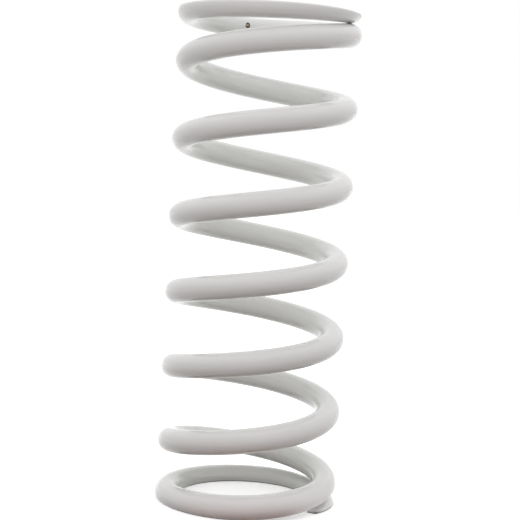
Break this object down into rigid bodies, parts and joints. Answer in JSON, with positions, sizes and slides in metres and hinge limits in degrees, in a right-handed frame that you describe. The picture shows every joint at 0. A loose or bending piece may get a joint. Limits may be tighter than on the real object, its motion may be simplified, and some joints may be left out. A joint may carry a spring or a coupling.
{
  "type": "shock spring",
  "caption": "Right-hand wound steel compression spring for a shock absorber, white powder coated, with closed and ground ends.",
  "frame": {"origin": "on the coil's axis, at the lower ground face", "axes": "+Z along the coil's axis, from the lower ground face to the upper; -Y towards the side that the picture shows"},
  "size_m": [0.0826, 0.0826, 0.222],
  "materials": {
    "white_powder_coat": "white powder coat, satin, on spring steel"
  },
  "bodies": {
    "root": {"coil_spring": "white_powder_coat"}
  },
  "joints": []
}
